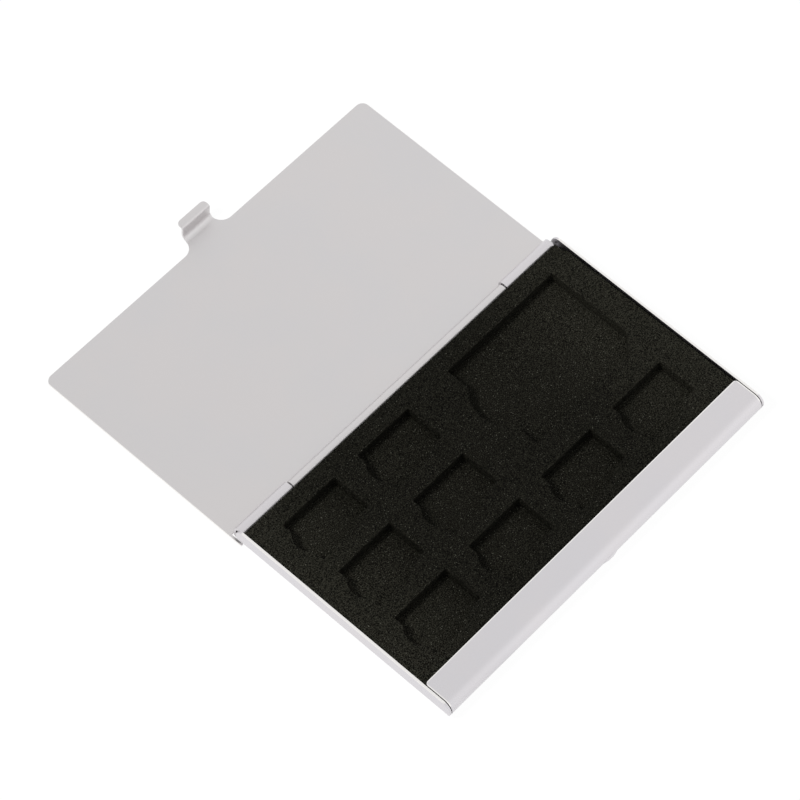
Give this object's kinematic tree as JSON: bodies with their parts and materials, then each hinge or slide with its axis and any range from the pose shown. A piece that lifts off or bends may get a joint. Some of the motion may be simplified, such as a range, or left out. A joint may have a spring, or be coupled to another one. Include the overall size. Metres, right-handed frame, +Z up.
{
  "type": "memory card case",
  "caption": "Slim hinged aluminium case with die-cut black foam pockets for full-size and micro memory cards, rolled front strip, and a lid with a snap tab.",
  "frame": {"origin": "middle of the flat underside of the base, halfway between its side walls and halfway from its front to the back of its end curls", "axes": "+X along the hinge towards the large pocket's end, +Y towards the hinge and the opened lid, +Z up out of the pockets"},
  "size_m": [0.0942, 0.1135, 0.0048],
  "materials": {
    "tray_aluminium": "fine-blasted, clear anodised, satin; edges bare and bright",
    "lid_aluminium": "fine-blasted, clear anodised, satin",
    "pin_steel": "drawn steel wire",
    "black_foam": "black closed-cell foam, fine open grain on the cut faces",
    "floor_foam": "black closed-cell foam, fine grain",
    "adhesive_film": "double-sided adhesive film, hidden under the foam"
  },
  "bodies": {
    "base": {"base_tray": "tray_aluminium", "hinge_pin": "pin_steel", "pocket_foam": "black_foam", "floor_foam": "floor_foam", "foam_tape": "adhesive_film"},
    "lid": {"lid": "lid_aluminium"}
  },
  "joints": [
    {"name": "lid_hinge", "type": "hinge", "parent": "base", "child": "lid", "pos_m": [0, 0.02691, 0.00267], "axis": [1, 0, 0], "range_deg": [0, 180]}
  ]
}
